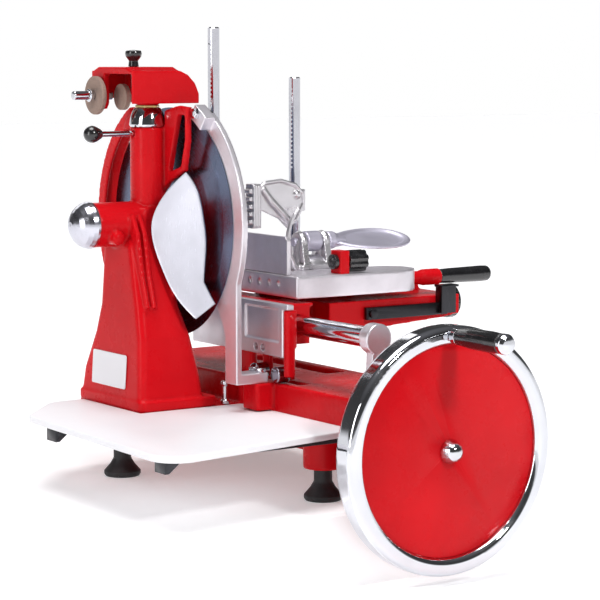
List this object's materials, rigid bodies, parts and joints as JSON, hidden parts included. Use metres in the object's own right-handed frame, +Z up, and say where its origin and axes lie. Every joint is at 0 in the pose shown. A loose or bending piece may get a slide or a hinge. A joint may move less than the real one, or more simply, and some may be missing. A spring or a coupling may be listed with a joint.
{
  "type": "deli meat slicer",
  "caption": "Hand-cranked flywheel meat slicer with a round blade, ring guard, sliding meat table and carriage, blade sharpener and receiving tray.",
  "frame": {"origin": "on the plane of the feet, straight below the centre of the blade", "axes": "+X from the column towards the meat table, along the blade's axis; -Y towards the flywheel; +Z up"},
  "size_m": [0.6783, 0.745, 0.666],
  "materials": {
    "red_enamel": "gloss enamel",
    "white_enamel": "gloss enamel",
    "black_rubber": "matt",
    "black_bakelite": "polished",
    "chrome": "plated",
    "polished_steel": "polished",
    "cast_aluminium": "machined casting",
    "toothed_steel": "cut rack",
    "dark_steel": "blackened",
    "machine_steel": "machined",
    "bronze": "machined",
    "grinding_stone": "fine grit"
  },
  "bodies": {
    "machine": {"bed_casting": "red_enamel", "column_casting": "red_enamel", "rubber_feet": "black_rubber", "foot_studs": "chrome", "tray": "white_enamel", "tray_brackets": "dark_steel", "tray_stud": "chrome", "name_plate": "white_enamel", "dome_cap": "chrome", "neck_collar": "chrome", "guard_ring": "cast_aluminium", "guard_bolts": "chrome", "slice_deflector": "polished_steel", "bearing_bushes": "bronze", "drive_chain": "dark_steel", "carriage_rod": "chrome", "rod_supports": "cast_aluminium"},
    "flywheel": {"flywheel_disc": "red_enamel", "flywheel_rim": "chrome", "hub_nut": "chrome", "flywheel_shaft": "machine_steel", "bevel_pinion": "machine_steel", "handle_stud": "chrome"},
    "crank_grip": {"handle_grip": "black_bakelite"},
    "cross_shaft": {"cross_shaft": "machine_steel", "bevel_gear": "machine_steel", "chain_wheel": "machine_steel", "crank_disc": "machine_steel"},
    "blade": {"blade": "polished_steel", "blade_hub": "machine_steel", "blade_screws": "polished_steel", "blade_spindle": "machine_steel", "spindle_sprocket": "machine_steel"},
    "carriage": {"carriage_casting": "red_enamel", "side_frame": "cast_aluminium", "index_bar": "dark_steel"},
    "connecting_rod": {"connecting_rod": "machine_steel"},
    "roller_front": {"guide_roller_front": "polished_steel"},
    "roller_rear": {"guide_roller_rear": "polished_steel"},
    "dial": {"feed_screw": "toothed_steel", "thickness_dial": "black_bakelite"},
    "table": {"meat_table": "cast_aluminium", "fence_plate": "cast_aluminium", "post_left": "toothed_steel", "post_right": "toothed_steel", "clamp_base": "cast_aluminium", "lock_knob_bracket": "red_enamel", "feed_handle_socket": "red_enamel"},
    "table_grip": {"feed_handle_grip": "black_bakelite"},
    "meat_clamp": {"clamp_bridge": "cast_aluminium", "claw_head": "cast_aluminium"},
    "wing_lever": {"wing_lever": "polished_steel"},
    "lock_knob": {"lock_knob": "black_bakelite"},
    "sharpener": {"sharpener_hood": "red_enamel"},
    "sharpener_knob": {"sharpener_knob": "black_bakelite"},
    "stone_spindle": {"stone_spindle": "chrome"},
    "grinding_stone": {"grinding_stone": "grinding_stone"},
    "deburring_stone": {"deburring_stone": "grinding_stone"},
    "lock_lever": {"lock_lever_rod": "chrome", "lock_lever_ball": "black_bakelite"}
  },
  "joints": [
    {"name": "flywheel_spin", "type": "hinge", "parent": "machine", "child": "flywheel", "pos_m": [0.131, -0.42, 0.073], "axis": [0, 1, 0], "continuous": true},
    {"name": "crank_grip_spin", "type": "hinge", "parent": "flywheel", "child": "crank_grip", "pos_m": [0.131, -0.49, 0.214], "axis": [0, 1, 0], "continuous": true},
    {"name": "cross_shaft_spin", "type": "hinge", "parent": "machine", "child": "cross_shaft", "pos_m": [0.06, 0.01, 0.073], "axis": [1, 0, 0], "continuous": true},
    {"name": "blade_spin", "type": "hinge", "parent": "machine", "child": "blade", "pos_m": [0, 0, 0.33], "axis": [1, 0, 0], "continuous": true},
    {"name": "carriage_slide", "type": "slide", "parent": "machine", "child": "carriage", "axis": [0, 1, 0], "range_m": [-0.113, 0]},
    {"name": "connecting_rod_swing", "type": "hinge", "parent": "carriage", "child": "connecting_rod", "pos_m": [0.183, -0.0579, 0.09], "axis": [1, 0, 0], "range_deg": [-21, 32]},
    {"name": "roller_front_spin", "type": "hinge", "parent": "carriage", "child": "roller_front", "pos_m": [0.067, -0.168, 0.141], "axis": [1, 0, 0], "continuous": true},
    {"name": "roller_rear_spin", "type": "hinge", "parent": "carriage", "child": "roller_rear", "pos_m": [0.067, -0.118, 0.141], "axis": [1, 0, 0], "continuous": true},
    {"name": "table_feed", "type": "slide", "parent": "carriage", "child": "table", "axis": [1, 0, 0], "range_m": [-0.055, 0]},
    {"name": "dial_turn", "type": "hinge", "parent": "carriage", "child": "dial", "pos_m": [0.34, -0.106, 0.212], "axis": [1, 0, 0], "range_deg": [-991, 1]},
    {"name": "table_grip_spin", "type": "hinge", "parent": "table", "child": "table_grip", "pos_m": [0.39, -0.118, 0.248], "axis": [1, 0, 0], "continuous": true},
    {"name": "clamp_lift", "type": "slide", "parent": "table", "child": "meat_clamp", "axis": [0, 0, 1], "range_m": [0, 0.12]},
    {"name": "wing_lever_lift", "type": "hinge", "parent": "table", "child": "wing_lever", "pos_m": [0.19, -0.06, 0.3], "axis": [1, 0, 0], "range_deg": [-35, 0]},
    {"name": "lock_knob_turn", "type": "hinge", "parent": "table", "child": "lock_knob", "pos_m": [0.18, -0.145, 0.2795], "axis": [1, 0, 0], "range_deg": [-170, 170]},
    {"name": "sharpener_swing", "type": "hinge", "parent": "machine", "child": "sharpener", "pos_m": [-0.035, 0, 0.45], "axis": [0, 0, 1], "range_deg": [-10, 90]},
    {"name": "sharpener_knob_turn", "type": "hinge", "parent": "sharpener", "child": "sharpener_knob", "pos_m": [-0.053, 0.004, 0.53], "axis": [0, 0, 1], "range_deg": [-170, 170]},
    {"name": "stone_spindle_pull", "type": "slide", "parent": "sharpener", "child": "stone_spindle", "axis": [1, 0, 0], "range_m": [-0.008, 0]},
    {"name": "grinding_stone_spin", "type": "hinge", "parent": "stone_spindle", "child": "grinding_stone", "pos_m": [-0.087, 0.044, 0.496], "axis": [1, 0, 0], "continuous": true},
    {"name": "deburring_stone_spin", "type": "hinge", "parent": "sharpener", "child": "deburring_stone", "pos_m": [-0.058, 0.024, 0.494], "axis": [1, 0, 0], "continuous": true},
    {"name": "lock_lever_turn", "type": "hinge", "parent": "machine", "child": "lock_lever", "pos_m": [-0.08, 0, 0.447], "axis": [1, 0, 0], "range_deg": [-170, 170]}
  ],
  "couplings": [
    {"joint": "cross_shaft_spin", "follows": "flywheel_spin", "ratio": -1},
    {"joint": "blade_spin", "follows": "flywheel_spin", "ratio": -2.5455},
    {"joint": "dial_turn", "follows": "table_feed", "rad_per_m": 314.16}
  ]
}
